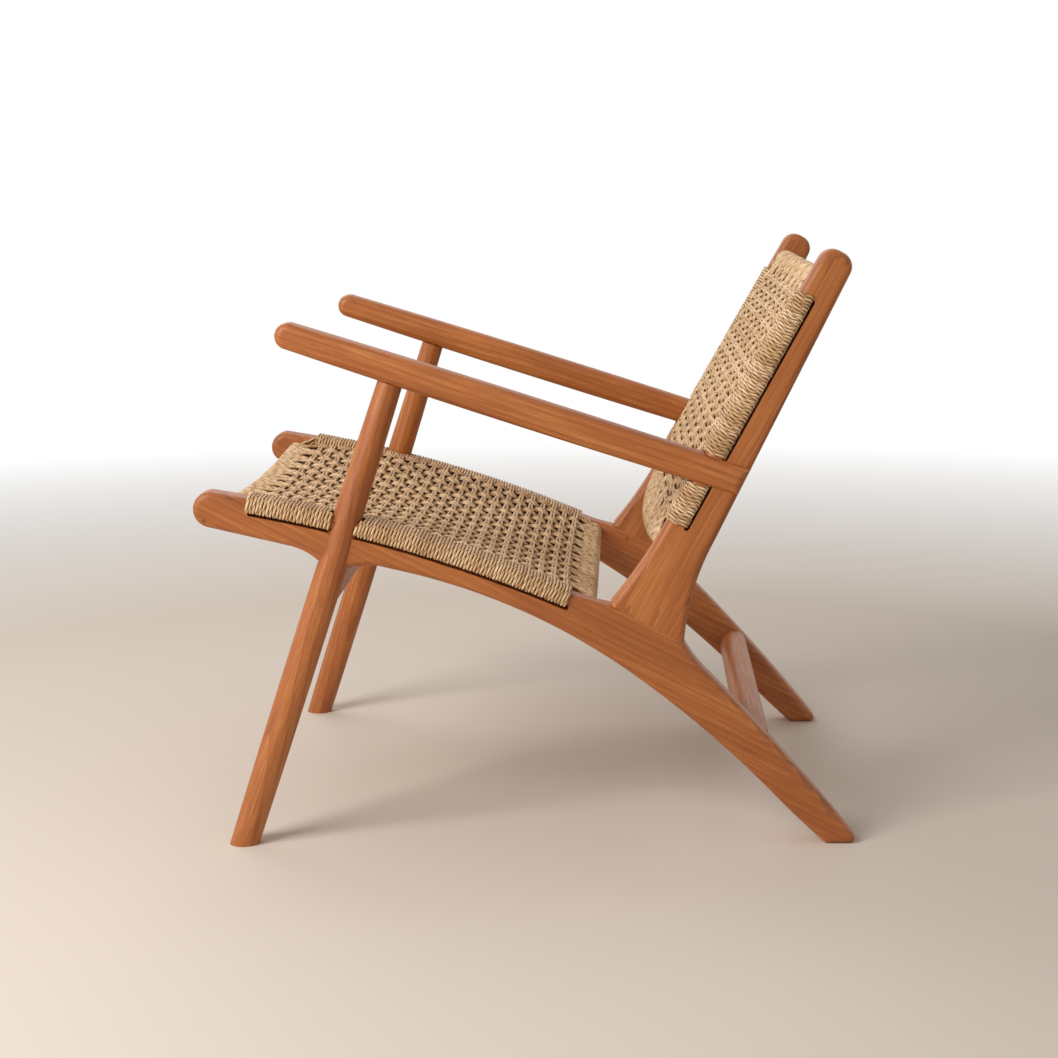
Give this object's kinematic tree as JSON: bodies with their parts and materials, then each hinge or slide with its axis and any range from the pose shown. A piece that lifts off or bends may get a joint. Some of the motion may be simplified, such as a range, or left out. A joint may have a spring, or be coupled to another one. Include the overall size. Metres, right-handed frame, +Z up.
{
  "type": "wooden armchair",
  "caption": "Low lounge armchair with swept side rails, splayed round front legs, sloping arms and a seat and back woven from twisted paper cord.",
  "frame": {"origin": "on the floor, at the middle of the chair's overall outline", "axes": "+X to the sitter's left, -Y to the front, +Z up"},
  "size_m": [0.6686, 0.7837, 0.7028],
  "materials": {
    "teak": "oiled, satin, straight grain along each piece",
    "dowel": "plain beech, unfinished",
    "cord": "natural twisted paper cord, matt with a slight sheen"
  },
  "bodies": {
    "root": {"side_rail_left": "teak", "side_rail_right": "teak", "front_leg_left": "teak", "front_leg_right": "teak", "armrest_left": "teak", "armrest_right": "teak", "back_post_left": "teak", "back_post_right": "teak", "seat_front_rail": "teak", "seat_rear_rail": "teak", "back_top_rail": "teak", "back_bottom_rail": "teak", "front_stretcher": "teak", "rear_stretcher": "teak", "post_dowels": "dowel", "arm_dowels": "dowel", "lap_dowels": "dowel", "seat_weave": "cord", "back_weave": "cord"}
  },
  "joints": []
}
